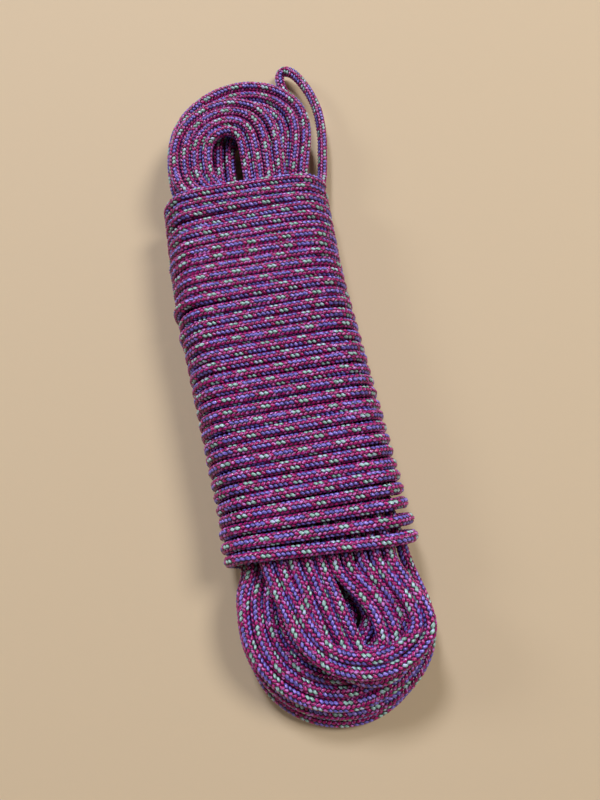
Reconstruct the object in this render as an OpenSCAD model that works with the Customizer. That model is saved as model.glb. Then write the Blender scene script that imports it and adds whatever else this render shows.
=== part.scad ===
// Dynamic climbing rope, folded into a long hank and wound round the middle with its own tail.
// The rope runs from its inner end, through the hank, the winding and the bight, to its tail end.
// X is across the bundle, Y along it, Z up. The bundle lies on Z = 0.

/* [Rope] */
// Diameter of the rope
rope_d = 8; // [7:0.1:8.4]
// Wall of the woven sheath
sheath_wall = 1.2; // [0.8:0.1:1.5]

/* [Hank] */
// How far the hank shows past the winding, towards +Y
far_reach = 93.5; // [85:0.5:130]
// And towards -Y
near_reach = 104; // [98:0.5:140]
// Room between the layers
layer_room = 0.8; // [0.5:0.1:1.6]
// Room between the loops at the +Y folds
far_room = 0.1; // [0:0.1:1]
// Room between the loops at the -Y folds
near_room = 0.5; // [0.4:0.1:0.8]
// Room between the top layer's loops at the -Y folds
near_top_room = 0.3; // [0.2:0.1:0.5]
// Radius of the innermost +Y folds in the lower three layers
far_radius = 12; // [10:0.5:13]
// Radius of the innermost -Y folds in the lower three layers
near_radius = 16; // [14:0.5:18]
// Radius of the top layer's innermost +Y fold
far_top_radius = 9.5; // [8:0.5:11]
// Radius of the top layer's innermost -Y fold
near_top_radius = 6.5; // [5.5:0.5:8]
// How far the bundle bows sideways at its middle
bow = 14; // [0:0.5:16]

/* [Winding] */
// Number of turns round the hank
turns = 33; // [24:1:36]
// Room between the turns
turn_room = 0.05; // [0:0.05:0.3]
// Lean of the turns across the bundle, in degrees
turn_lean = -1; // [-3:0.5:3]
// Lean of the first turn, in degrees
first_lean = -8.5; // [-9:0.5:-1]

/* [Rope ends] */
// Length of each end that shows its sheath and core apart
end_length = 30; // [26:1:40]
// Diameter of the marker tape, rolled into a thread
marker_d = 0.5; // [0.3:0.05:0.5]
// Thickness of the fused tip
tip_t = 1.6; // [1:0.1:3]
// Length of the clear sleeve shrunk on each end
sleeve_length = 18; // [12:1:22]
// Wall of that sleeve
sleeve_wall = 0.2; // [0.15:0.05:0.25]

/* [Hidden] */

rope_r = rope_d / 2;
tube_sides = 6;
bight_sides = 8;
clear = 0.45; // least room between strands that cross
flat_cut = rope_d / 10; // the winding is pressed flat by this much where it stands
round_fn = 48;

// Hank: four layers, laid from the bottom up. Even layers spiral in, odd layers spiral out.
layer_runs = [0, 10, 21, 32, 41]; // the run that each layer starts with, and one past the last
outer_loop = 5; // the outermost loop's number, counted from 0
channel_x = rope_d + clear; // innermost loop of the lower layers, clear of the tail in the middle
close_x = (rope_d + clear) / 2; // and of the upper layers, where the middle is shut
waist_xs = [channel_x, channel_x, close_x, close_x];
turn_step = rope_d + turn_room;
wrap_start_y = -turns * turn_step / 2;
waist_near = wrap_start_y - 1.3 * rope_d; // the squeeze ends here towards -Y
waist_far = -wrap_start_y + 0.75 * rope_d; // and here towards +Y
waist_mid = -0.4 * wrap_start_y; // where the bow is deepest
far_end_y = far_reach - wrap_start_y;
near_end_y = wrap_start_y - near_reach;
far_step = rope_d + far_room; // from loop to loop
near_steps = [for (room = [near_room, near_room, near_room, near_top_room]) rope_d + room];
far_radii = [far_radius, far_radius, far_radius, far_top_radius];
near_radii = [near_radius, near_radius, near_radius, near_top_radius];
shift_far = [4, 4, 1, -7]; // sideways lie of each layer at the +Y folds
shift_near = [0, 0, 1, 15]; // and at the -Y folds
short_far = [4, 0, 0, 8]; // how much shorter each layer is at the +Y folds
short_near = [0, 0, 3, -5]; // and at the -Y folds
far_fold_y = far_end_y - rope_r - far_radius - outer_loop * far_step;
near_fold_y = near_end_y + rope_r + near_radius + outer_loop * near_steps[0];
fold_turns = 5; // rings round one fold
fold_half_angle = 90 / fold_turns;
sag_from = 6.5 * rope_d; // the -Y folds sag towards the ground from here outwards
sag_over = 36;
sag_near = 7.5;
lift_far = 1.5; // the +Y folds lie on the tail that passes under them

// Winding: a rounded frame round the hank
wrap_gap = clear + 0.05; // between the hank and the turns
wrap_half_w = channel_x + (outer_loop + 1) * rope_d + wrap_gap;
layer_step = rope_d + layer_room;
wrap_half_h = 1.5 * layer_step + rope_d + wrap_gap;
wrap_corner = 2 * rope_d + wrap_gap;
wrap_top_corner = wrap_half_h - clear; // rounder above, where the upper layers are narrower
wrap_floor_z = rope_r - flat_cut; // height of the rope's middle under the hank
hank_mid_z = wrap_floor_z + wrap_half_h;
wrap_rings = 12;
wrap_ring_angle = 360 / wrap_rings;
lean_ramp = 4.6; // turns over which the lean grows
split_turn = 17; // the lower node ends here

// Where the rope ends lie under the winding
inner_end_y = 15;
tail_end_y = 95;
tail_end_z = 14;

function unit(v) = v / norm(v);
function mix(a, b, k) = a + (b - a) * k;
function ease(k) = let (c = min(1, max(0, k))) c * c * (3 - 2 * c);
function flatten(lists) = [for (list = lists) for (item = list) item];
function bow_at(y) = -bow * lookup(y, [[near_end_y, 0], [waist_near, 0.25], [waist_mid, 1],
    [waist_far, 0.85], [far_end_y, 0]]);
function bowed(path) = [for (p = path) [p.x + bow_at(p.y), p.y, p.z]];
function placed(path) = [for (p = bowed(path)) p + centre_shift];

// One ring of points, square to the path and mitred where the path bends
function ring(path, ups, i, r, sides) =
    let (t_in = i == 0 ? unit(path[1] - path[0]) : unit(path[i] - path[i - 1]),
        t_out = i == len(path) - 1 ? t_in : unit(path[i + 1] - path[i]),
        t = unit(t_in + t_out),
        side = unit(cross(t, ups[i])),
        up = cross(side, t),
        bend = norm(t_out - t_in) < 0.001 ? [0, 0, 0] : unit(t_out - t_in),
        grow = 1 / (t * t_out) - 1)
    [for (k = [0:sides - 1])
        let (a = 90 + 360 * k / sides,
            offset = r * (cos(a) * side + sin(a) * up))
        path[i] + offset + bend * (offset * bend) * grow];
function rings(path, ups, r, sides) = [for (i = [0:len(path) - 1]) ring(path, ups, i, r, sides)];

// A direction that stays square to the path and never twists, for a path that turns every way
function next_up(up, t) = unit(up - t * (up * t));
function carried_ups(path, first) =
    [for (i = 0, up = first; i < len(path);
        i = i + 1,
        up = next_up(up, unit(path[min(i, len(path) - 1)] - path[min(i, len(path) - 1) - 1]))) up];

module tube(path, ups, r, sides) {
    n = len(path);
    side_faces = [for (i = [0:n - 2]) for (k = [0:sides - 1])
        let (a = i * sides + k,
            b = i * sides + (k + 1) % sides,
            c = b + sides,
            d = a + sides)
        each [[a, b, c], [a, c, d]]];
    start_cap = [for (k = [1:sides - 2]) [0, k + 1, k]];
    end_cap = [for (k = [1:sides - 2]) let (o = (n - 1) * sides) [o, o + k, o + k + 1]];
    polyhedron(flatten(rings(path, ups, r, sides)), concat(side_faces, start_cap, end_cap));
}

// Hank
function layer_of(run) = len([for (k = [1:3]) if (run >= layer_runs[k]) k]);
function spirals_in(layer) = layer % 2 == 0;
function is_climb(run) = layer_of(run) < 3 && run == layer_runs[layer_of(run) + 1] - 1;
function side_of(run) = run % 2 == 0 ? 1 : -1;
function loop_of(run) = let (layer = layer_of(run))
    spirals_in(layer) ? floor((layer_runs[layer + 1] - 1 - run) / 2) : ceil((run - layer_runs[layer]) / 2);
function settle(y) = y > 0
    ? lift_far * ease((y - waist_far) / sag_over)
    : -sag_near * ease((waist_near - y - sag_from) / sag_over);
function hank_z(layer, y) = hank_mid_z + (layer - 1.5) * layer_step + settle(y);
function run_path(run) =
    let (side = side_of(run),
        layer = layer_of(run),
        above = is_climb(run) ? layer + 1 : layer,
        ys = side > 0 ? [waist_near, waist_mid, waist_far] : [waist_far, waist_mid, waist_near])
    [for (y = ys)
        let (climbed = (y - ys[0]) / (ys[2] - ys[0]),
            x = mix(waist_xs[layer], waist_xs[above], climbed) + rope_d * loop_of(run))
        [side * x, y, hank_z(mix(layer, above, climbed), y)]];
function fold_path(run) =
    let (far = side_of(run) > 0,
        layer = layer_of(run + 1),
        radius = far ? far_radii[layer] : near_radii[layer],
        step = far ? far_step : near_steps[layer],
        r0 = radius + step * loop_of(run),
        r1 = radius + step * loop_of(run + 1),
        shift = far ? shift_far[layer] : shift_near[layer],
        middle = far ? far_fold_y - short_far[layer] : near_fold_y + short_near[layer],
        turn = far ? 1 : -1)
    [for (k = [0:fold_turns - 1])
        let (a = fold_half_angle * (2 * k + 1),
            r = mix(r0, r1, a / 180) / cos(fold_half_angle),
            y = middle + turn * r * sin(a))
        [shift + turn * r * cos(a), y, hank_z(layer, y)]];
last_run = layer_runs[4] - 1;
function hank_path() =
    let (whole = [for (run = [0:last_run]) each concat(run_path(run), run < last_run ? fold_path(run) : [])],
        start = whole[0],
        kept = len(whole) - 2,
        end = whole[kept])
    concat([[start.x, waist_near + rope_d, start.z]], [for (i = [1:kept - 1]) whole[i]],
        [[end.x, inner_end_y, end.z]]);

// Winding: over the top from left to right, then back underneath
function opening(t) = tan(mix(first_lean, turn_lean, min(1, t / lean_ramp))) - tan(turn_lean);
function wrap_y(t, x) = wrap_start_y + turn_step * t + x * tan(turn_lean) + (x + wrap_half_w) * opening(t);
function wrap_angle(k) = 90 - wrap_ring_angle * (k + 0.5);
function wrap_point(k) =
    let (a = wrap_angle(k),
        corner = sin(a) > 0 ? wrap_top_corner : wrap_corner,
        r = corner / cos(wrap_ring_angle / 2),
        x = (wrap_half_w - corner) * sign(cos(a)) + r * cos(a),
        z = (wrap_half_h - corner) * sign(sin(a)) + r * sin(a))
    [x, wrap_y(k / wrap_rings, x), hank_mid_z + z];
function wrap_up(k) = [cos(wrap_angle(k)), 0, sin(wrap_angle(k))];
first_ring = wrap_rings / 2; // under the hank, on the left
split_ring = wrap_rings * split_turn + 2; // on the right-hand side
last_ring = wrap_rings * turns + 2;

// A joint on the right-hand side, one rope diameter past ring k
function side_joint(k) = mix(wrap_point(k), wrap_point(k + 1),
    rope_d / norm(wrap_point(k + 1) - wrap_point(k)));

// The rope comes from the hank's bottom layer, turns under it and starts the winding
hank_start = hank_path()[0];
lead_route = [[0.14, -2, 0.98], [0.39, -3, 0.8], [0.59, -4, 0.45], [0.64, -5, 0.13], [0.51, -5.88, 0],
    [-0.06, -6.69, 0], [-0.93, -7.13, 0], [-1.93, -7.19, 0], [-3.06, -6.75, 0], [-4.31, -5.88, 0],
    [-5.81, -4.5, 0], [-7.31, -2.88, 0], [-8.68, -1.25, 0], [-9.74, -0.13, 0]];
lead_in = [for (p = lead_route) [hank_start.x + p.x * rope_d, hank_start.y + p.y * rope_d,
    mix(wrap_floor_z, hank_start.z, p.z)]];
lower_path = concat([hank_start, hank_start - [0, rope_d, 0]], lead_in,
    [for (k = [first_ring:split_ring]) wrap_point(k)], [side_joint(split_ring)]);
lower_ups = concat([for (k = [0:len(lead_in) + 1]) [0, 0, -1]],
    [for (k = [first_ring:split_ring]) wrap_up(k)], [[1, 0, 0]]);
upper_path = concat([side_joint(split_ring)], [for (k = [split_ring + 1:last_ring]) wrap_point(k)],
    [side_joint(last_ring)]);
upper_ups = concat([[1, 0, 0]], [for (k = [split_ring + 1:last_ring]) wrap_up(k)], [[1, 0, 0]]);

// Bight: from the last turn along the hank, round, back under the far folds and into the hank.
// Its points are measured along Y from the end of the winding.
bight_route = [[58.6, 6, 15.5], [60.2, 13, 13], [61.2, 22, 12.5], [62, 34, 12.8], [62.5, 45, 13],
    [62.2, 56, 13], [61.2, 68, 12.8], [58.8, 80, 12.5], [54, 95, 12], [48.4, 108.5, 11], [44.7, 115, 10],
    [41, 119, 8.8], [37.2, 120.5, 7.4], [34.3, 118, 6], [33.8, 111.5, 5], [35.4, 104, 4.4], [38.3, 97, 4.1],
    [41.5, 89.5, 4.1], [44, 81, 4.1], [45, 72, 4.1], [43, 62, 4.1], [37.5, 53, 4.1], [29, 46, 4.1],
    [20, 40, 4.1], [11, 33.5, 4.2], [3.5, 26, 5], [0.4, 17, 7.2], [0, 8, 10], [0, -2, 12.6], [0, -13, 13.8]];
wrap_end = upper_path[len(upper_path) - 1];
wrap_end_direction = unit(wrap_end - upper_path[len(upper_path) - 2]);
bight_path = concat([wrap_end, wrap_end + wrap_end_direction * rope_d * 0.75],
    [for (p = bight_route) [p.x, p.y - wrap_start_y, p.z]], [[0, tail_end_y, tail_end_z]]);

// Least gap between the surfaces of parts of one tube that lie more than 4 diameters apart along it
function denser(rs, parts) = [for (i = [0:len(rs) - 2]) for (j = [0:parts - 1]) mix(rs[i], rs[i + 1], j / parts)];
function middle_of(r) = (r[0] + r[len(r) / 2]) / 2;
function run_lengths(ms) = [for (i = 0, s = 0; i < len(ms);
    i = i + 1, s = s + norm(ms[min(i, len(ms) - 1)] - ms[min(i, len(ms) - 1) - 1])) s];
function ring_gap(a, b) = min([for (p = a) for (q = b) norm(p - q)]);
function least_gap(path, ups, r, sides, parts) =
    let (rs = denser(rings(path, ups, r, sides), parts),
        ms = [for (ring = rs) middle_of(ring)],
        s = run_lengths(ms),
        near = 3.5 * r,
        far = 8 * r)
    min([for (i = [0:len(rs) - 1]) for (j = [i + 1:1:len(rs) - 1])
        if (s[j] - s[i] > far && norm(ms[i] - ms[j]) < near) ring_gap(rs[i], rs[j])]);
function path_length(path) = run_lengths(path)[len(path) - 1];

module lay(path, ups, r, sides) tube(placed(path), ups, r, sides);
module above_ground() difference() {
    children();
    translate([-far_end_y, 2 * near_end_y, -rope_d]) cube([2 * far_end_y, 2 * (far_end_y - near_end_y), rope_d]);
}

hank_points = hank_path();
hank_ups = [for (p = hank_points) [0, 0, 1]];
bight_ups = carried_ups(bight_path, [1, 0, 0]);

// The bundle is moved so that the middle of its box stands over the origin
box_points = flatten(concat(
    rings(bowed(hank_points), hank_ups, rope_r, tube_sides),
    rings(bowed(lower_path), lower_ups, rope_r, tube_sides),
    rings(bowed(upper_path), upper_ups, rope_r, tube_sides),
    rings(bowed(bight_path), bight_ups, rope_r, bight_sides)));
function middle_along(axis) = let (values = [for (p = box_points) p[axis]]) (min(values) + max(values)) / 2;
centre_shift = [-middle_along(0), -middle_along(1), 0];

// The hank: loops in four layers, one unbroken rope
module hank_loops() {
    echo(hank_length_m = path_length(hank_points) / 1000);
    echo(hank_least_gap = least_gap(hank_points, hank_ups, rope_r, tube_sides, 3));
    color("mediumvioletred") lay(hank_points, hank_ups, rope_r, tube_sides);
}

// The winding's lower turns, with the lead that brings the rope out from under the hank
module wrap_lower_turns() {
    echo(lower_turns_length_m = path_length(lower_path) / 1000);
    echo(lower_turns_least_gap = least_gap(lower_path, lower_ups, rope_r, tube_sides, 2));
    color("mediumorchid") above_ground() lay(lower_path, lower_ups, rope_r, tube_sides);
}

// The winding's upper turns
module wrap_upper_turns() {
    echo(upper_turns_length_m = path_length(upper_path) / 1000);
    echo(upper_turns_least_gap = least_gap(upper_path, upper_ups, rope_r, tube_sides, 2));
    color("orchid") above_ground() lay(upper_path, upper_ups, rope_r, tube_sides);
}

// The bight that stands out past the far folds, and the tail that goes back into the hank
module bight() {
    echo(bight_length_m = path_length(bight_path) / 1000);
    color("slateblue") lay(bight_path, bight_ups, rope_r, bight_sides);
}

// The rope's make-up where it ends: woven sheath, core strands, marker tape, fused tip, sleeve
bore_r = rope_r - sheath_wall;
core_clear = 0.1;
strand_r = (bore_r - core_clear) / 3;
outer_strands = 6;
sleeve_fit = 0.05;
sleeve_from_tip = 3;
module end_sheath() difference() {
    cylinder(r = rope_r, h = end_length, $fn = round_fn);
    translate([0, 0, -1]) cylinder(r = bore_r, h = end_length + 2, $fn = round_fn);
}
module end_core_strands() {
    cylinder(r = strand_r, h = end_length, $fn = round_fn / 2);
    for (k = [0:outer_strands - 1]) rotate(360 / outer_strands * k)
        translate([2 * strand_r + core_clear / 2, 0, 0]) cylinder(r = strand_r, h = end_length, $fn = round_fn / 2);
}
module end_marker_tape() rotate(180 / outer_strands)
    translate([bore_r - marker_d / 2 - core_clear, 0, 0]) cylinder(d = marker_d, h = end_length, $fn = 16);
module end_fused_tip() translate([0, 0, end_length])
    rotate_extrude($fn = round_fn) polygon([[0, 0], [rope_r, 0], [rope_r, tip_t * 0.45],
        [rope_r * 0.85, tip_t * 0.85], [rope_r * 0.5, tip_t], [0, tip_t]]);
module end_sleeve() translate([0, 0, end_length - sleeve_length - sleeve_from_tip]) difference() {
    cylinder(r = rope_r + sleeve_fit + sleeve_wall, h = sleeve_length, $fn = round_fn);
    translate([0, 0, -1]) cylinder(r = rope_r + sleeve_fit, h = sleeve_length + 2, $fn = round_fn);
}

// Carries on from the last point of a path, in its direction
module carry_on(path) {
    end = len(path) - 1;
    dir = unit(path[end] - path[end - 1]);
    translate(path[end]) rotate([0, acos(dir.z), atan2(dir.y, dir.x)]) children();
}
module at_inner_end() carry_on(placed(hank_points)) children();
module at_tail_end() carry_on(placed(bight_path)) children();

module inner_end_sheath() color("crimson") at_inner_end() end_sheath();
module inner_end_core_strands() color("white") at_inner_end() end_core_strands();
module inner_end_marker_tape() color("gold") at_inner_end() end_marker_tape();
module inner_end_fused_tip() color("dimgray") at_inner_end() end_fused_tip();
module inner_end_sleeve() color("lightgray") at_inner_end() end_sleeve();
module tail_end_sheath() color("crimson") at_tail_end() end_sheath();
module tail_end_core_strands() color("white") at_tail_end() end_core_strands();
module tail_end_marker_tape() color("gold") at_tail_end() end_marker_tape();
module tail_end_fused_tip() color("dimgray") at_tail_end() end_fused_tip();
module tail_end_sleeve() color("lightgray") at_tail_end() end_sleeve();

hank_loops();
wrap_lower_turns();
wrap_upper_turns();
bight();
inner_end_sheath();
inner_end_core_strands();
inner_end_marker_tape();
inner_end_fused_tip();
inner_end_sleeve();
tail_end_sheath();
tail_end_core_strands();
tail_end_marker_tape();
tail_end_fused_tip();
tail_end_sleeve();
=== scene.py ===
# A dynamic climbing rope: a long flat hank wound round the middle with its own tail.
# Lengths are worked out in millimetres and turned to metres where meshes are made.
import bpy, math
import numpy as np
from mathutils import Matrix, Vector


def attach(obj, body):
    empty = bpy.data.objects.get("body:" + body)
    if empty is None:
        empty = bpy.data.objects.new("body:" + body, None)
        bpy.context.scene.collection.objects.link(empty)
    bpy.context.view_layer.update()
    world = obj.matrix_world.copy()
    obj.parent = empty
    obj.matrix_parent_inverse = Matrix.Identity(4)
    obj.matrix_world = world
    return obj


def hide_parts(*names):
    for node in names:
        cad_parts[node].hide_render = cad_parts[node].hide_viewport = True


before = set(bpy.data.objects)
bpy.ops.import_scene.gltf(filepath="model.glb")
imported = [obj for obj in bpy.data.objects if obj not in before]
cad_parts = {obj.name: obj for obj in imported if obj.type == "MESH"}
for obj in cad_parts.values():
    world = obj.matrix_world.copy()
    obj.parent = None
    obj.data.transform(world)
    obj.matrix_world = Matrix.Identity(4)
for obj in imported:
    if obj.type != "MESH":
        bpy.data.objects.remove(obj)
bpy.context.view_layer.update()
scene = bpy.context.scene
mm = 0.001

# Place, lens and sensor width in mm; heading, down and roll in degrees; the nearest thing seen in metres
camera = {"place": (-12.00, -143.58, 416.44), "heading": 9.89, "down": 74.88, "roll": -0.65, "lens": 27.05,
          "sensor": 36, "nearest": 0.01}


def makeCamera():
    heading, down, roll = (math.radians(camera[k]) for k in ("heading", "down", "roll"))
    level = Vector((math.sin(heading), math.cos(heading), 0))
    forward = level * math.cos(down) + Vector((0, 0, -math.sin(down)))
    right = Vector((level.y, -level.x, 0))
    up = right.cross(forward)
    rightRolled = right * math.cos(roll) + up * math.sin(roll)
    upRolled = up * math.cos(roll) - right * math.sin(roll)
    data = bpy.data.cameras.new("camera")
    data.lens = camera["lens"]
    data.sensor_width = camera["sensor"]
    data.clip_start = camera["nearest"]
    ob = bpy.data.objects.new("camera", data)
    scene.collection.objects.link(ob)
    ob.location = Vector(camera["place"]) * mm
    ob.rotation_mode = "QUATERNION"
    turned = Matrix((rightRolled, upRolled, -forward)).transposed()
    ob.rotation_quaternion = turned.to_quaternion()
    scene.camera = ob


makeCamera()
print("camera made")

# The rope: least room between strands that cross, and how far the winding is pressed flat where it stands
rope = {"diameter": 8.0, "clear": 0.45, "flat": 0.8, "end": 30.0}

# The hank: four layers from the bottom up, each list with one value for a layer.
# "runs" has the run that each layer starts with, and one past the last.
hank = {
    "runs": [0, 10, 21, 32, 41], "outerLoop": 5, "layerStep": 8.8,
    # The sideways bow, and its shares at the near end, the winding's near end, middle and far end, and the
    # far end; it is averaged over "bowEase" to each side.
    "bow": 14.0, "bowShares": [0, 0.25, 1, 0.85, 0], "bowEase": 18, "bowSteps": 7,
    "nearRoom": 1.3, "farRoom": 0.75,  # where the runs leave the winding, in diameters past its ends
    # Points of a run: how many, and how far inside the winding's ends they start
    "rightPoints": 15, "rightInset": 7, "leftPoints": 13, "leftInset": 32, "leftFirst": 12, "leftLast": 10,
    "endAt": 15.0, "endRoom": 6,  # where the inner end's last stretch starts, and the room before it
    "rings": 5,  # points round one fold
    # Left of the middle the loops are nearly at full width as soon as they leave the winding: "shoulder" is
    # how soon and "spread" how much of the full width they have there.
    "far": {"reach": 93.5, "deep": 52.5, "radii": [20.1, 9.0, 9.0, 9.5], "steps": [8.1, 8.7, 8.7, 8.1],
            "shift": [0.5, 0.7, -0.5, -8.5], "short": [2.5, 0, 0, 8], "shoulder": 4.0,
            "spread": [0.9, 0.9, 0.9, 0.9]},
    "near": {"reach": 104.0, "deep": 58.5, "radii": [24.5, 9.0, 18.5, 8.0], "steps": [8.5, 9.9, 8.0, 8.0],
             "shift": [0, 0, 1, 15], "short": [-4.5, 5.5, 8.5, 0], "shoulder": 6.0,
             "spread": [0.75, 0.9, 0.9, 0.3]},
    # On the right the strands swell out as they enter the winding at its near end
    "swell": [2.0, 2.0, 4.0, 3.0], "swellAt": 8.0, "swellOver": 14.0,
    # The near folds sag towards the ground; the far folds lie on the tail that passes under them
    "sagFrom": 52.0, "sagOver": 36.0, "sagNear": 7.5, "liftFar": 1.5,
}

# The top layer, each list with one value for a loop, from the inside out.
# At the near end its two widest loops lie over the tips of the three inside them.
topLayer = {"nearMiddle": [-10, -9.7, -9.5, 6, 6], "nearDepth": [8.0, 16.0, 24.0, 25.5, 33.8],
            "nearLift": [0, 0, 0, 8.2, 8.2], "closeLoops": 3, "closeBy": 1.5,
            "farLift": [3.2, 3.2, 2.2, 0, 0], "farOpen": [0, 0, 0.6, 1.8, 1.8]}

# The winding: angles in degrees, places as numbers of turns
winding = {"turns": 33, "step": 8.05, "lean": -1.0, "firstLean": -8.5, "leanRamp": 4.6, "loose": 0.05,
           "rings": 12,  # points round one turn
           # The two pieces meet in "splitTurn", this many points past its start; "runOn" is in diameters
           "splitTurn": 17, "meetPoint": 2, "runOn": [1, 1.75]}

# How a hand leaves the winding. Each fall has its amount, the distance from the middle at which it
# starts and the distance over which it grows. Openings and bulges have their turn and their amount.
handLay = {"fallFrom": 20.0, "rightFall": (8.5, 5, 50), "leftFall": (9.0, 0, 55),
           "openings": [(21.4, 1.1), (30.6, 1.1)], "openingTurns": 5, "openingSide": (-15, 60),
           "bulges": [(0.9, 2.0), (1.9, 2.4), (2.9, 1.6), (19.5, 2.2), (21.9, 2.6), (26.5, 1.2)],
           "bulgeTurns": 0.35, "rightBulges": [(1.21, 0.5), (2.21, 1.0)], "rightBulgeTurns": 0.3,
           "bulgeSide": (30, 25),
           # Each wave has its angle a turn, its start and its angle a millimetre, in radians
           "uneven": 0.5, "waves": [(2.4, 0, 0.06), (5.1, 1.3, -0.035)], "heightWave": (3.7, 0.05),
           # The first turns lean and so part on the right: there they are brought this much nearer
           "liftTurns": [0.5, 0.8, 1.3, 2.2, 3.2, 4.2, 4.7], "liftBy": [0, 4.7, 4.7, 3.5, 3.1, 0.6, 0]}

# From the hank's start to the winding, in rope diameters; the third number is a share of the height
leadRoute = [
    (0.14, -2, 0.98), (0.39, -3, 0.8), (0.59, -4, 0.45), (0.64, -5, 0.13), (0.51, -5.88, 0),
    (-0.06, -6.69, 0), (-0.93, -7.13, 0), (-1.93, -7.19, 0), (-3.06, -6.75, 0), (-4.31, -5.88, 0),
    (-5.81, -4.5, 0), (-7.31, -2.88, 0), (-8.68, -1.25, 0), (-9.74, -0.13, 0)]
# The bight and the tail, measured along Y from the end of the winding
bightRoute = [
    (58.6, 6, 15.5), (60.2, 13, 13), (61.2, 22, 12.5), (62, 34, 12.8), (62.5, 45, 13), (62.2, 56, 13),
    (61.2, 68, 12.8), (58.8, 80, 12.5), (54, 95, 12), (48.4, 108.5, 11), (44.7, 115, 10), (41, 119, 8.8),
    (37.2, 120.5, 7.4), (34.3, 118, 6), (33.8, 111.5, 5), (35.4, 104, 4.4), (38.3, 97, 4.1),
    (41.5, 89.5, 4.1), (44, 81, 4.1), (45, 72, 4.1), (43, 62, 4.1), (37.5, 53, 4.1), (29, 46, 4.1),
    (20, 40, 4.1), (11, 33.5, 4.2), (3.5, 26, 5), (0.4, 17, 7.2), (0, 8, 10), (0, -2, 12.6), (0, -13, 13.8)]
tailEnd = (0.0, 95.0, 14.0)
centreShift = np.array([6.56106, -9.02681, 0.0])  # puts the CAD part's middle over the origin

diameter = rope["diameter"]
layers = len(hank["runs"]) - 1
topNumber = layers - 1
wrapGap = rope["clear"] + winding["loose"]
channelX = diameter + rope["clear"]
waistXs = [channelX, channelX, channelX / 2, channelX / 2]
halfWide = channelX + (hank["outerLoop"] + 1) * diameter + wrapGap
halfHigh = topNumber / 2 * hank["layerStep"] + diameter + wrapGap
corner = 2 * diameter + wrapGap
topCorner = halfHigh - rope["clear"]
floorZ = diameter / 2 - rope["flat"]
middleZ = floorZ + halfHigh
startY = -winding["turns"] * winding["step"] / 2
waistNear = startY - hank["nearRoom"] * diameter
waistFar = -startY + hank["farRoom"] * diameter
waistMid = -0.4 * startY  # where the bow is greatest
farEnd = hank["far"]["reach"] - startY
nearEnd = startY - hank["near"]["reach"]
farFold = farEnd - diameter / 2 - hank["far"]["deep"]
nearFold = nearEnd + diameter / 2 + hank["near"]["deep"]
lastRun = hank["runs"][layers] - 1


def ease(k):
    k = min(1.0, max(0.0, k))
    return k * k * (3 - 2 * k)


# Sideways bow of the whole bundle, averaged over a short stretch so that it has no corners
def bowAt(y):
    knots = [nearEnd, waistNear, waistMid, waistFar, farEnd]
    around = np.linspace(-hank["bowEase"], hank["bowEase"], hank["bowSteps"])
    ys = around[:, None] + np.atleast_1d(y)[None, :]
    return -hank["bow"] * np.interp(ys, knots, hank["bowShares"]).mean(0)


def layerOf(run):
    return sum(run >= first for first in hank["runs"][1:layers])


def loopOf(run):
    layer = layerOf(run)
    if layer % 2 == 0:
        return (hank["runs"][layer + 1] - 1 - run) // 2
    return math.ceil((run - hank["runs"][layer]) / 2)


# The layer that a run ends in: the last run of a layer climbs to the next
def layerAfter(run):
    layer = layerOf(run)
    return layer + 1 if layer < topNumber and run == hank["runs"][layer + 1] - 1 else layer


def settle(y):
    if y > 0:
        return hank["liftFar"] * ease((y - waistFar) / hank["sagOver"])
    return -hank["sagNear"] * ease((waistNear - y - hank["sagFrom"]) / hank["sagOver"])


def layerZ(layer, y):
    return middleZ + (layer - topNumber / 2) * hank["layerStep"] + settle(y)


# Where a left-hand run leaves the winding, already nearly as wide as its fold
def shoulderPoint(end, layer, loop, y):
    wide = end["radii"][layer] + end["steps"][layer] * loop - end["shift"][layer]
    close = waistXs[layer] + diameter * loop
    return (-close - (wide - close) * end["spread"][layer], y, layerZ(layer, y))


def rightRun(run):
    layer, above, loop = layerOf(run), layerAfter(run), loopOf(run)
    first, last = waistNear + hank["rightInset"], waistFar - hank["rightInset"]
    ys = np.concatenate([[waistNear], np.linspace(first, last, hank["rightPoints"]), [waistFar]])
    if run == 0:
        ys = np.concatenate([[waistNear + diameter], ys[3:]])
    if run == lastRun:
        kept = ys[ys < hank["endAt"] - hank["endRoom"]]
        ys = np.concatenate([kept, [hank["endAt"], hank["endAt"] + rope["end"]]])
    points = []
    if layer == topNumber and loop < topLayer["closeLoops"]:
        # The straight strands keep up with the wider loops outside them
        end = hank["near"]
        y = nearFold + topLayer["nearMiddle"][-1]
        x = end["shift"][layer] + end["radii"][layer] + end["steps"][layer] * loop - topLayer["closeBy"]
        points.append((x, y, layerZ(layer, y)))
    for y in ys:
        k = abs(y - waistNear) / (waistFar - waistNear)
        x = waistXs[layer] * (1 - k) + waistXs[above] * k + diameter * loop
        swell = math.exp(-((y - waistNear - hank["swellAt"]) / hank["swellOver"]) ** 2)
        x += hank["swell"][layer] * (loop + 1) / (hank["outerLoop"] + 1) * swell
        points.append((x, y, layerZ(layer * (1 - k) + above * k, y)))
    return points


def leftRun(run):
    layer, above, loop = layerOf(run), layerAfter(run), loopOf(run)
    between = np.linspace(waistFar - hank["leftInset"], waistNear + hank["leftInset"], hank["leftPoints"])
    ys = np.concatenate([[waistFar - hank["leftFirst"]], between, [waistNear + hank["leftLast"]]])
    points = [shoulderPoint(hank["far"], layer, loop, waistFar + hank["far"]["shoulder"])]
    for y in ys:
        k = abs(y - waistFar) / (waistFar - waistNear)
        x = waistXs[layer] * (1 - k) + waistXs[above] * k + diameter * loop
        points.append((-x, y, layerZ(layer * (1 - k) + above * k, y)))
    points.append(shoulderPoint(hank["near"], above, loop, waistNear - hank["near"]["shoulder"]))
    return points


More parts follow.
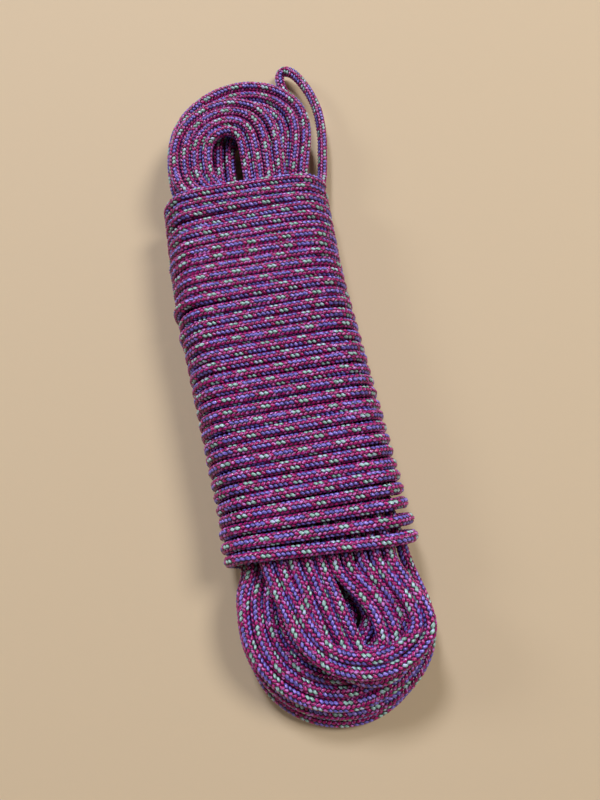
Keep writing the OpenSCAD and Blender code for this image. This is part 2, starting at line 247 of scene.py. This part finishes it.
def foldAfter(run):
    far = run % 2 == 0
    end, turn, middle = (hank["far"], 1, farFold) if far else (hank["near"], -1, nearFold)
    layer, loop = layerOf(run + 1), loopOf(run)
    first = end["radii"][layer] + end["steps"][layer] * loop
    second = end["radii"][layer] + end["steps"][layer] * loopOf(run + 1)
    middle -= turn * end["short"][layer]
    raised = layer == topNumber and not far
    if raised:
        middle = nearFold + topLayer["nearMiddle"][loop]
    half = math.pi / 2 / hank["rings"]
    points = []
    for k in range(hank["rings"]):
        a = half * (2 * k + 1)
        r = (first + (second - first) * a / math.pi) / math.cos(half)
        deep, lift = r, 0
        if raised:
            deep, lift = topLayer["nearDepth"][loop] / math.cos(half), topLayer["nearLift"][loop]
        elif layer == topNumber:
            lift = topLayer["farLift"][loop] * math.sin(a)
            r += topLayer["farOpen"][loop] * math.sin(a)
            deep = r
        y = middle + turn * deep * math.sin(a)
        points.append((end["shift"][layer] + turn * r * math.cos(a), y, layerZ(layer, y) + lift))
    return points


def hankRoute():
    points = []
    for run in range(lastRun + 1):
        points += rightRun(run) if run % 2 == 0 else leftRun(run)
        if run < lastRun:
            points += foldAfter(run)
    return points


# How much further the first turns lean than the others
def opening(t):
    lean = winding["firstLean"] + (winding["lean"] - winding["firstLean"]) * min(1, t / winding["leanRamp"])
    return math.tan(math.radians(lean)) - math.tan(math.radians(winding["lean"]))


def wrapPoint(k):
    ringAngle = 360 / winding["rings"]
    a = math.radians(90 - ringAngle * (k + 0.5))
    bend = topCorner if math.sin(a) > 0 else corner
    r = bend / math.cos(math.radians(ringAngle / 2))
    x = math.copysign(halfWide - bend, math.cos(a)) + r * math.cos(a)
    z = math.copysign(halfHigh - bend, math.sin(a)) + r * math.sin(a)
    t = k / winding["rings"]
    y = startY + winding["step"] * t + x * math.tan(math.radians(winding["lean"]))
    y += (x + halfWide) * opening(t)
    return (x, y, middleZ + z)


def beyond(x, start, over):
    return ease((x - start) / over)


# The same point of the winding as a hand leaves it: turns part here and there and fall off at the corners
def handLaid(point, k):
    x, y, z = point
    t = k / winding["rings"]
    late = ease((t - handLay["fallFrom"]) / (winding["turns"] - handLay["fallFrom"]))
    rightFall, *rightSide = handLay["rightFall"]
    leftFall, *leftSide = handLay["leftFall"]
    y -= late * (rightFall * beyond(x, *rightSide) + leftFall * beyond(-x, *leftSide))
    for place, amount in handLay["openings"]:
        away = t - place
        parted = math.copysign(max(0.0, 1 - abs(away) / handLay["openingTurns"]), away)
        y += beyond(-x, *handLay["openingSide"]) * amount * parted
    for place, amount in handLay["bulges"]:
        near = math.exp(-((t - place) / handLay["bulgeTurns"]) ** 2)
        x -= amount * near * beyond(-x, *handLay["bulgeSide"])
    for place, amount in handLay["rightBulges"]:
        near = math.exp(-((t - place) / handLay["rightBulgeTurns"]) ** 2)
        x += amount * near * beyond(x, *handLay["bulgeSide"])
    lift = float(np.interp(t, handLay["liftTurns"], handLay["liftBy"]))
    y += lift * (x + halfWide) / (2 * halfWide)
    n = int(math.floor(t))
    wave = sum(math.sin(byTurn * n + begin + byX * x) for byTurn, begin, byX in handLay["waves"])
    y += handLay["uneven"] / len(handLay["waves"]) * wave
    byTurn, byX = handLay["heightWave"]
    z += handLay["uneven"] * math.sin(byTurn * n + byX * x) * (1 if z > middleZ else 0)
    return (x, y, z)


# Route points from the inner end to the tail end, and the numbers of the points where pieces meet
def ropeRoute():
    route = hankRoute()[::-1]
    joined = [len(route) - 1]
    start = route[-1]
    route.append((start[0], start[1] - diameter, start[2]))
    for x, y, z in leadRoute:
        route.append((start[0] + x * diameter, start[1] + y * diameter, floorZ + (start[2] - floorZ) * z))
    splitRing = winding["rings"] * winding["splitTurn"] + winding["meetPoint"]
    lastRing = winding["rings"] * winding["turns"] + winding["meetPoint"]
    for k in range(winding["rings"] // 2, lastRing + 1):
        route.append(handLaid(wrapPoint(k), k))
        if k == splitRing:
            joined.append(len(route) - 1)
    joined.append(len(route) - 1)
    end = np.array(route[-1])
    ahead = np.array(wrapPoint(lastRing + 1)) - end
    ahead = ahead / np.linalg.norm(ahead)
    for onward in winding["runOn"]:
        route.append(tuple(end + ahead * diameter * onward))
    route += [(x, y - startY, z) for x, y, z in bightRoute]
    route.append(tailEnd)
    route.append((tailEnd[0], tailEnd[1] - rope["end"], tailEnd[2]))
    return np.array(route, float), joined


# A quadratic B-spline with these control points, and the control number of each sample
def smoothLine(points, finest=0.7):
    mids = (points[:-1] + points[1:]) / 2
    out, near = [points[:1]], [np.zeros(1)]
    for i in range(1, len(points) - 1):
        a, b, c = (mids[i - 1], points[i], mids[i])
        n = max(3, int(np.linalg.norm(c - a) / finest))
        t = np.linspace(0, 1, n, endpoint=False)[:, None]
        out.append((1 - t) ** 2 * a + 2 * t * (1 - t) * b + t * t * c)
        near.append(i - 0.5 + t[:, 0])
    out.append(points[-1:])
    near.append(np.array([len(points) - 1.0]))
    return np.concatenate(out), np.concatenate(near)


def lengthsAlong(points):
    return np.concatenate([[0], np.cumsum(np.linalg.norm(np.diff(points, axis=0), axis=1))])


# Directions square to the line that never twist round it
def carriedFrames(points):
    t = np.gradient(points, axis=0)
    t /= np.linalg.norm(t, axis=1)[:, None]
    carried = np.empty_like(t)
    up = np.array([0.0, 0.0, 1.0])
    for i, d in enumerate(t.tolist()):
        k = up[0] * d[0] + up[1] * d[1] + up[2] * d[2]
        u0, u1, u2 = up[0] - k * d[0], up[1] - k * d[1], up[2] - k * d[2]
        n = math.sqrt(u0 * u0 + u1 * u1 + u2 * u2)
        up = (u0 / n, u1 / n, u2 / n)
        carried[i] = up
    return t, carried


routePoints, joinedAt = ropeRoute()
routePoints[:, 0] += bowAt(routePoints[:, 1])
routePoints += centreShift
fine, control = smoothLine(routePoints)
fineAlong = lengthsAlong(fine)
sampleStep = 0.5
spots = np.arange(0, fineAlong[-1], sampleStep)
line = np.stack([np.interp(spots, fineAlong, fine[:, k]) for k in range(3)], 1)
ropeLength = float(lengthsAlong(line)[-1])
meetAt = [float(np.interp(point, control, fineAlong)) for point in joinedAt]
tangents, ups = carriedFrames(line)
print("rope line made,", round(ropeLength / 1000, 2), "m")

# The woven sheath. Eight yarns run each way round the rope and each passes over two and under two others.
# What shows are the floats: four columns along the rope of one set, with four of the other between.
# Sizes in mm: the length of one turn of a yarn, the dark tube's radius, the crown's radius, how far a
# float's rim lies inside the tube, and a float's width and length. "endShape" and "sideFall" round it off.
# The colours are those of the eight yarns one way round: g is mint, p pink and v violet.
braid = {"yarns": 16, "lay": 24.0, "core": 3.2, "crown": 4.03, "inside": 0.1, "width": 2.15, "length": 4.3,
         "taper": 0.30, "endShape": 2.3, "sideFall": 0.93, "colours": "ggpvvvvp", "uneven": 0.05,
         "unevenAngle": 0.04}
colourSlot = {"z": 1, "v": 2, "g": 3, "p": 4}  # z is magenta, all eight yarns of the other way
yarnAngle = math.atan(math.pi * diameter / braid["lay"])
rng = np.random.default_rng(7)


# The values carried by the line at the distances s
def atLine(s, values):
    k = np.clip(s / sampleStep, 0, len(line) - 1.001)
    i = k.astype(int)
    f = (k - i)[..., None]
    return values[i] * (1 - f) + values[i + 1] * f


def onRope(s, angle, radius):
    c, t, u = atLine(s, line), atLine(s, tangents), atLine(s, ups)
    u = u - t * (u * t).sum(-1, keepdims=True)
    u /= np.linalg.norm(u, axis=-1, keepdims=True)
    v = np.cross(t, u)
    return c + radius[..., None] * (np.cos(angle)[..., None] * u + np.sin(angle)[..., None] * v)


# Distance, angle, way round and colour of each float between two distances
def floatCentres(start, stop):
    lay, yarns, found = braid["lay"], braid["yarns"], []
    for column in range(yarns // 4):
        for way, shift, turn in ((1, 0.5, 0.5), (-1, 1.5, 2.5)):
            lowest = int(math.floor((4 * column + shift - yarns * stop / lay) / 2)) - 1
            highest = int(math.ceil((4 * column + shift - yarns * start / lay) / 2)) + 1
            i = np.arange(lowest, highest + 1)
            s = lay * (4 * column + shift - 2 * i) / yarns
            keep = (s >= start) & (s < stop)
            i, s = i[keep], s[keep]
            angle = np.full(len(s), 2 * math.pi * (4 * column + turn) / yarns)
            if way > 0:
                slots = np.array([colourSlot[c] for c in braid["colours"]])[i % (yarns // 2)]
            else:
                slots = np.full(len(s), colourSlot["z"])
            found.append(np.stack([s, angle, np.full(len(s), way), slots], 1))
    return np.concatenate(found)


# The rope turns slowly about itself as it lies: two waves and a steady turn, in radians and mm
twist = {"slow": (0.9, 310.0), "quick": (0.5, 127.0, 1.0), "steady": 900.0}


def ropeTwist(s):
    slow, slowLength = twist["slow"]
    quick, quickLength, begin = twist["quick"]
    return slow * np.sin(s / slowLength) + quick * np.sin(s / quickLength + begin) + s / twist["steady"]


# Floats that nobody sees get fewer faces: those under the winding, on its inner side and on its underside.
# "frame" is the share of the winding's half width and height past which a float belongs to the winding.
hidden = {"frame": 0.93, "inward": -0.35, "pastStart": 60, "nearIn": 14, "farIn": 8}


def shownFloats(centres):
    s = centres[:, 0]
    place = onRope(s, centres[:, 1] + ropeTwist(s), np.full(len(centres), diameter / 2))
    middle = atLine(s, line)
    outward = (place - middle) / (diameter / 2)
    y = middle[:, 1] - centreShift[1]
    x = middle[:, 0] - centreShift[0] - bowAt(y)
    z = middle[:, 2] - middleZ
    inWinding = np.maximum(np.abs(x) / halfWide, np.abs(z) / halfHigh) > hidden["frame"]
    towards = np.stack([np.where(np.abs(x) > halfWide - corner, np.sign(x), 0), np.zeros(len(x)),
                        np.where(np.abs(z) > halfHigh - corner, np.sign(z), 0)], 1)
    towards /= np.maximum(1e-6, np.linalg.norm(towards, axis=1))[:, None]
    facesOut = (outward * towards).sum(1) > hidden["inward"]
    underside = (z < -halfHigh * hidden["frame"]) & (np.abs(x) < halfWide - corner)
    covered = (y > waistNear + hidden["nearIn"]) & (y < waistFar - hidden["farIn"])
    return np.where(inWinding & (s > meetAt[0] + hidden["pastStart"]), facesOut & ~underside, ~covered)


# Vertices, quads, slots and places on the yarn of these floats, each a grid over its crown
def floatGrid(centres, stations, crossings):
    across = len(crossings)
    u = np.linspace(-1, 1, stations)[:, None] * np.ones((1, across))
    v = np.array(crossings)[None, :] * np.ones((stations, 1))
    u, v = u.ravel(), v.ravel()
    n, count = len(u), len(centres)
    way = centres[:, 2:3]
    size = 1 + braid["uneven"] * rng.standard_normal((count, 1))
    a = u[None] * braid["length"] / 2 * size
    b = v[None] * braid["width"] / 2 * (1 - braid["taper"] * u[None] ** 2) * size
    turned = yarnAngle + braid["unevenAngle"] * rng.standard_normal((count, 1))
    s = centres[:, 0:1] + a * np.cos(turned) - way * b * np.sin(turned)
    around = way * a * np.sin(turned) + b * np.cos(turned)
    angle = centres[:, 1:2] + around / (diameter / 2) + ropeTwist(centres[:, 0:1])
    endRise = np.sqrt(np.clip(1 - np.abs(u) ** braid["endShape"], 0, 1))
    rise = endRise * np.sqrt(np.clip(1 - braid["sideFall"] * v ** 2, 0, 1))
    crown = braid["crown"] + braid["uneven"] * rng.standard_normal((count, 1))
    radius = braid["core"] - braid["inside"] + (crown - braid["core"] + braid["inside"]) * rise[None]
    places = onRope(s, angle, radius).reshape(-1, 3)
    cell = np.arange(n).reshape(stations, across)
    quads = np.stack([cell[:-1, :-1], cell[:-1, 1:], cell[1:, 1:], cell[1:, :-1]], -1).reshape(-1, 4)
    quads = (quads[None] + (np.arange(count) * n)[:, None, None]).reshape(-1, 4)
    slots = np.repeat(centres[:, 3].astype(int), (stations - 1) * (across - 1))
    uv = np.stack([np.tile(u, count), np.tile(v, count)], 1)
    return places, quads, slots, uv


# The dark tube that shows between the floats; its near-black colour is painted shade
def coreGrid(start, stop, radius, gap=3.0, around=10):
    s = np.linspace(start, stop, max(2, int((stop - start) / gap)))
    angle = np.arange(around) * 2 * math.pi / around
    places = onRope(s[:, None] * np.ones((1, around)), angle[None] * np.ones((len(s), 1)),
                    np.full((len(s), around), radius)).reshape(-1, 3)
    cell = np.arange(len(s) * around).reshape(len(s), around)
    after = np.roll(cell, -1, axis=1)
    quads = np.stack([cell[:-1], after[:-1], after[1:], cell[1:]], -1).reshape(-1, 4)
    quads = quads[:, ::-1]
    uv = np.stack([np.tile(np.linspace(-1, 1, len(s))[:, None], (1, around)).ravel(),
                   np.tile(np.abs(np.linspace(-1, 1, around))[None], (len(s), 1)).ravel()], 1)
    return places, quads, np.zeros(len(quads), int), uv


# One part of the colour map for each material: left, bottom, right, top
colourPlaces = [(0.02, 0.02, 0.31, 0.47), (0.35, 0.02, 0.64, 0.47), (0.69, 0.02, 0.98, 0.47),
                (0.02, 0.53, 0.31, 0.98), (0.35, 0.53, 0.64, 0.98)]
ground = 0.03  # nothing reaches lower than this, in mm
coreLap = 0.6  # the dark tube's overlap where two pieces meet, in mm
# How many rows of points a float has along it, and where they cross it
shownFloat = (5, [-1, -0.42, 0.42, 1])
hiddenFloat = (3, [-1, 0, 1])


def addMaps(data, slots, corners):
    boxes = np.array(colourPlaces)[np.repeat(slots, 4)]
    placed = boxes[:, :2] + (corners + 1) / 2 * (boxes[:, 2:] - boxes[:, :2])
    baked = data.uv_layers.new(name="OFBake")
    baked.data.foreach_set("uv", placed.astype(np.float32).ravel())
    yarn = data.uv_layers.new(name="yarn")  # places on the yarn itself, in metres
    alongYarn = corners * np.array([braid["length"] / 2, braid["width"] / 2]) * mm
    yarn.data.foreach_set("uv", alongYarn.astype(np.float32).ravel())
    data.uv_layers.active = baked
    baked.active_render = True


# One length of the rope as a mesh: the dark tube and every float of the weave
def ropeMesh(name, start, stop, materials):
    centres = floatCentres(start, stop)
    shown = shownFloats(centres)
    groups = [coreGrid(max(0, start - coreLap), min(ropeLength, stop + coreLap), braid["core"])]
    groups.append(floatGrid(centres[shown], *shownFloat))
    groups.append(floatGrid(centres[~shown], *hiddenFloat))
    base, verts, quads, slots, uvs = 0, [], [], [], []
    for places, faces, slotNumbers, uv in groups:
        verts.append(places)
        quads.append(faces + base)
        slots.append(slotNumbers)
        uvs.append(uv)
        base += len(places)
    verts, quads, slots, uvs = (np.concatenate(k) for k in (verts, quads, slots, uvs))
    verts[:, 2] = np.maximum(verts[:, 2], ground)
    data = bpy.data.meshes.new(name)
    data.vertices.add(len(verts))
    data.vertices.foreach_set("co", (verts * mm).astype(np.float32).ravel())
    data.loops.add(len(quads) * 4)
    data.loops.foreach_set("vertex_index", quads.astype(np.int32).ravel())
    data.polygons.add(len(quads))
    data.polygons.foreach_set("loop_start", np.arange(0, len(quads) * 4, 4, dtype=np.int32))
    data.polygons.foreach_set("loop_total", np.full(len(quads), 4, dtype=np.int32))
    for material in materials:
        data.materials.append(material)
    data.polygons.foreach_set("material_index", slots.astype(np.int32))
    data.polygons.foreach_set("use_smooth", np.ones(len(quads), bool))
    addMaps(data, slots, uvs[quads.ravel()])
    data.update()
    data.validate()
    ob = bpy.data.objects.new(name, data)
    scene.collection.objects.link(ob)
    print(name, "made:", int(shown.sum()), "floats shown of", len(centres), "in", len(quads), "faces")
    return ob


def linear(code):
    parts = [int(code[i:i + 2], 16) / 255 for i in (1, 3, 5)]
    return [c / 12.92 if c <= 0.04045 else ((c + 0.055) / 1.055) ** 2.4 for c in parts] + [1.0]


# A node with its settings and its inputs: n0, n1 and so on by number, the others by name
def addNode(tree, kind, settings=None, **inputs):
    node = tree.nodes.new(kind)
    for key, value in (settings or {}).items():
        setattr(node, key, value)
    for key, value in inputs.items():
        byNumber = key[0] == "n" and key[1:].isdigit()
        socket = node.inputs[int(key[1:])] if byNumber else node.inputs[key.replace("_", " ")]
        if isinstance(value, bpy.types.NodeSocket):
            tree.links.new(value, socket)
        else:
            socket.default_value = value
    return node


# What all the sheath's yarns share. Filaments run along the yarn, 8500 to the metre across it, one each
# 0.12 mm: real ones are about 0.03 mm, too fine to show, so they are drawn coarser. Blotches are about
# 2.4 mm, half a float's length, so that neighbouring floats differ. The dive is where a float goes under, in
# metres from its middle: there its colour is darkened as painted shade, down to the deepest share of its
# tone.
yarnLook = {"filaments": (500.0, 8500.0, 1.0), "filamentDetail": 2.0, "filamentTone": (0.62, 1.15),
            "blotches": 420.0, "blotchDetail": 1.0, "blotchTone": (0.5, 1.25), "noiseSpan": (0.3, 0.7),
            "diveShade": (0.0006, 0.0021), "deepest": 0.04,
            "glintSpan": (0.54, 0.68), "glintMost": 0.6, "glint": "#c8a4ff",
            "bump": 0.35, "bumpHeight": 0.00006,
            "roughness": 0.24, "ior": 1.53, "sheen": 0.2, "sheenRoughness": 0.45, "sheenTint": "#cdb8f4"}


# Nylon yarn of fine filaments with a soft sheen, painted in shade where it dives so that it shows brighter at
# its crown
def yarnMaterial(name, deep, bright):
    look = yarnLook
    material = bpy.data.materials.new(name)
    material.use_nodes = True
    tree = material.node_tree
    tree.nodes.clear()
    yarn = addNode(tree, "ShaderNodeUVMap", {"uv_map": "yarn"})
    place = addNode(tree, "ShaderNodeTexCoord")
    apart = addNode(tree, "ShaderNodeSeparateXYZ", n0=yarn.outputs[0])
    stretched = addNode(tree, "ShaderNodeMapping", n0=yarn.outputs[0], Scale=look["filaments"])
    filaments = addNode(tree, "ShaderNodeTexNoise", {"noise_dimensions": "3D"}, Vector=stretched.outputs[0],
                        Scale=1.0, Detail=look["filamentDetail"])
    blotches = addNode(tree, "ShaderNodeTexNoise", {"noise_dimensions": "3D"}, Vector=place.outputs["Object"],
                       Scale=look["blotches"], Detail=look["blotchDetail"])
    endways = addNode(tree, "ShaderNodeMath", {"operation": "ABSOLUTE"}, n0=apart.outputs[0])
    # Painted shade: towards its ends, where the float goes under its neighbours, its colour is darkened
    diveShade = addNode(tree, "ShaderNodeMapRange", {"interpolation_type": "SMOOTHSTEP"}, Value=endways.outputs[0],
                   From_Min=look["diveShade"][0], From_Max=look["diveShade"][1], To_Min=1.0, To_Max=look["deepest"])
    filamentTone = addNode(tree, "ShaderNodeMapRange", Value=filaments.outputs[0],
                           From_Min=look["noiseSpan"][0], From_Max=look["noiseSpan"][1],
                           To_Min=look["filamentTone"][0], To_Max=look["filamentTone"][1])
    blotchTone = addNode(tree, "ShaderNodeMapRange", Value=blotches.outputs[0],
                         From_Min=look["noiseSpan"][0], From_Max=look["noiseSpan"][1],
                         To_Min=look["blotchTone"][0], To_Max=look["blotchTone"][1])
    # Here and there a float catches the light and shows nearly lavender
    glint = addNode(tree, "ShaderNodeMapRange", Value=blotches.outputs[0], From_Min=look["glintSpan"][0],
                    From_Max=look["glintSpan"][1], To_Max=look["glintMost"])
    glintHere = addNode(tree, "ShaderNodeMath", {"operation": "MULTIPLY"},
                        n0=glint.outputs[0], n1=diveShade.outputs[0])
    tone = addNode(tree, "ShaderNodeMath", {"operation": "MULTIPLY"},
                   n0=filamentTone.outputs[0], n1=blotchTone.outputs[0])
    toneHere = addNode(tree, "ShaderNodeMath", {"operation": "MULTIPLY", "use_clamp": True},
                       n0=tone.outputs[0], n1=diveShade.outputs[0])
    # The colour runs from deep to bright with the tone; deep is the painted shade where the float dives, and
    # also the dark of its darker filaments and blotches
    dyed = addNode(tree, "ShaderNodeMix", {"data_type": "RGBA"},
                   n0=toneHere.outputs[0], n6=linear(deep), n7=linear(bright))
    lit = addNode(tree, "ShaderNodeMix", {"data_type": "RGBA"},
                  n0=glintHere.outputs[0], n6=dyed.outputs[2], n7=linear(look["glint"]))
    bump = addNode(tree, "ShaderNodeBump", Height=filaments.outputs[0], Strength=look["bump"],
                   Distance=look["bumpHeight"])
    shader = addNode(tree, "ShaderNodeBsdfPrincipled", Base_Color=lit.outputs[2], Normal=bump.outputs[0],
                     Roughness=look["roughness"], IOR=look["ior"], Sheen_Weight=look["sheen"],
                     Sheen_Roughness=look["sheenRoughness"], Sheen_Tint=linear(look["sheenTint"]))
    addNode(tree, "ShaderNodeOutputMaterial", Surface=shader.outputs[0])
    return material


def plainMaterial(name, colour, rough, ior=1.5, **more):
    material = bpy.data.materials.new(name)
    material.use_nodes = True
    tree = material.node_tree
    tree.nodes.clear()
    shader = addNode(tree, "ShaderNodeBsdfPrincipled", Base_Color=linear(colour), Roughness=rough, IOR=ior,
                     **more)
    addNode(tree, "ShaderNodeOutputMaterial", Surface=shader.outputs[0])
    return material


# Each yarn has two colours: first the dark of its painted shade and darker filaments, then its dyed colour
sheathMaterials = [
    # Painted shade between the floats: the tube under them is nearly black navy, so that each float stands
    # clear
    plainMaterial("navyShadeBetweenFloats", "#06051a", 0.95),
    # Solution-dyed nylon, magenta: the herringbone that gives the rope its overall colour
    yarnMaterial("magentaNylonYarn", "#0c0222", "#be087c"),
    # Dyed nylon, violet: the cool chain of dots
    yarnMaterial("violetNylonYarn", "#070730", "#8576e4"),
    # Pale mint: the bright flecks that catch the eye first
    yarnMaterial("mintNylonYarn", "#071c1c", "#b6e8de"),
    # Pink, a little lighter than the magenta, parting the violet from the mint
    yarnMaterial("pinkNylonYarn", "#0e021c", "#cc1482"),
]
print("materials made")


pathStep = 2.5  # between the points of a piece's middle line, in mm
fewestPoints = 20


def layRope(name, start, stop, replaced, fromStop=False):
    ob = ropeMesh(name, start, stop, sheathMaterials)
    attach(ob, "root")
    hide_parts(*replaced)
    s = np.linspace(start, stop, max(fewestPoints, int((stop - start) / pathStep)))
    path = atLine(s, line) * mm
    if fromStop:
        path = path[::-1]


layRope("hankLoops", 0.0, meetAt[0], ["hank_loops", "inner_end_sheath"], True)
layRope("wrapLowerTurns", meetAt[0], meetAt[1], ["wrap_lower_turns"])
layRope("wrapUpperTurns", meetAt[1], meetAt[2], ["wrap_upper_turns"])
layRope("tailBight", meetAt[2], ropeLength, ["bight", "tail_end_sheath"], False)

# The pieces at the rope's two ends keep their CAD shapes and get their finishes
endFinish = {
    # Undyed twisted nylon, dull and creamy
    "core_strands": plainMaterial("twistedCoreNylon", "#e8e4da", 0.7),
    # Thin unprinted film tape with a slight shine
    "marker_tape": plainMaterial("filmTape", "#d8b040", 0.35),
    # Nylon melted back to a dark glossy cap
    "fused_tip": plainMaterial("meltedNylon", "#3a1024", 0.25, 1.53),
    # Clear shrink film over the last stretch
    "sleeve": plainMaterial("clearShrinkFilm", "#f4f4f6", 0.12, 1.49, Transmission_Weight=0.9),
}
for end in ("inner_end", "tail_end"):
    for piece, finish in endFinish.items():
        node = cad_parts[end + "_" + piece]
        node.data.materials.clear()
        node.data.materials.append(finish)
print("rope ends finished")

# A pale matt sweep: flat underneath, then rising all round in one soft curve. Lengths in metres.
sweep = {"inner": 0.4, "flat": 3.0, "curve": 2.5, "top": 6.0, "sides": 96, "steps": 12}


def makeSweep():
    profile = [(sweep["inner"], 0.0), (sweep["flat"], 0.0)]
    for k in range(1, sweep["steps"] + 1):
        a = math.pi / 2 * k / sweep["steps"]
        profile.append((sweep["flat"] + sweep["curve"] * math.sin(a), sweep["curve"] * (1 - math.cos(a))))
    profile.append((sweep["flat"] + sweep["curve"], sweep["top"]))
    verts, faces = [(0, 0, 0)], []
    for r, z in profile:
        for k in range(sweep["sides"]):
            a = 2 * math.pi * k / sweep["sides"]
            verts.append((r * math.cos(a), r * math.sin(a), z))
    for k in range(sweep["sides"]):
        after = (k + 1) % sweep["sides"]
        faces.append((0, 1 + k, 1 + after))
        for ring in range(len(profile) - 1):
            inside, outside = 1 + ring * sweep["sides"], 1 + (ring + 1) * sweep["sides"]
            faces.append((inside + k, outside + k, outside + after, inside + after))
    data = bpy.data.meshes.new("floor")
    data.from_pydata(verts, [], faces)
    data.polygons.foreach_set("use_smooth", np.ones(len(faces), bool))
    # Painted board, matt, so that it takes the shadow and shows no gloss
    data.materials.append(plainMaterial("paleMattFloor", "#cdb999", 0.75))
    ob = bpy.data.objects.new("floor", data)
    scene.collection.objects.link(ob)


# Soft round lamps; places and sizes in metres, power in watts
lights = {
    "key": {"place": (2.4, 0.8, 3.3), "size": 1.5, "power": 94, "colour": (1.0, 0.97, 0.95)},
    "second": {"place": (-0.5, 2.9, 3.3), "size": 0.9, "power": 110, "colour": (0.85, 0.87, 1.0)},
    "fill": {"place": (-2.7, 1.5, 1.9), "size": 1.1, "power": 26, "colour": (0.92, 0.95, 1.0)},
}
air = {"colour": (0.82, 0.86, 0.92, 1), "strength": 0.10}


def makeLight(name, light):
    data = bpy.data.lights.new(name, "AREA")
    data.shape = "DISK"
    data.size = light["size"]
    data.energy = light["power"]
    data.color = light["colour"]
    ob = bpy.data.objects.new(name, data)
    scene.collection.objects.link(ob)
    ob.location = light["place"]
    ob.rotation_mode = "QUATERNION"
    ob.rotation_quaternion = (-Vector(light["place"])).to_track_quat("-Z", "Y")


def makeAir():
    world = bpy.data.worlds.new("world")
    scene.world = world
    world.use_nodes = True
    background = world.node_tree.nodes["Background"]
    background.inputs[0].default_value = air["colour"]
    background.inputs[1].default_value = air["strength"]


makeSweep()
for name, light in lights.items():
    makeLight(name, light)
makeAir()
scene.view_settings.view_transform = "Standard"
print("stage set")
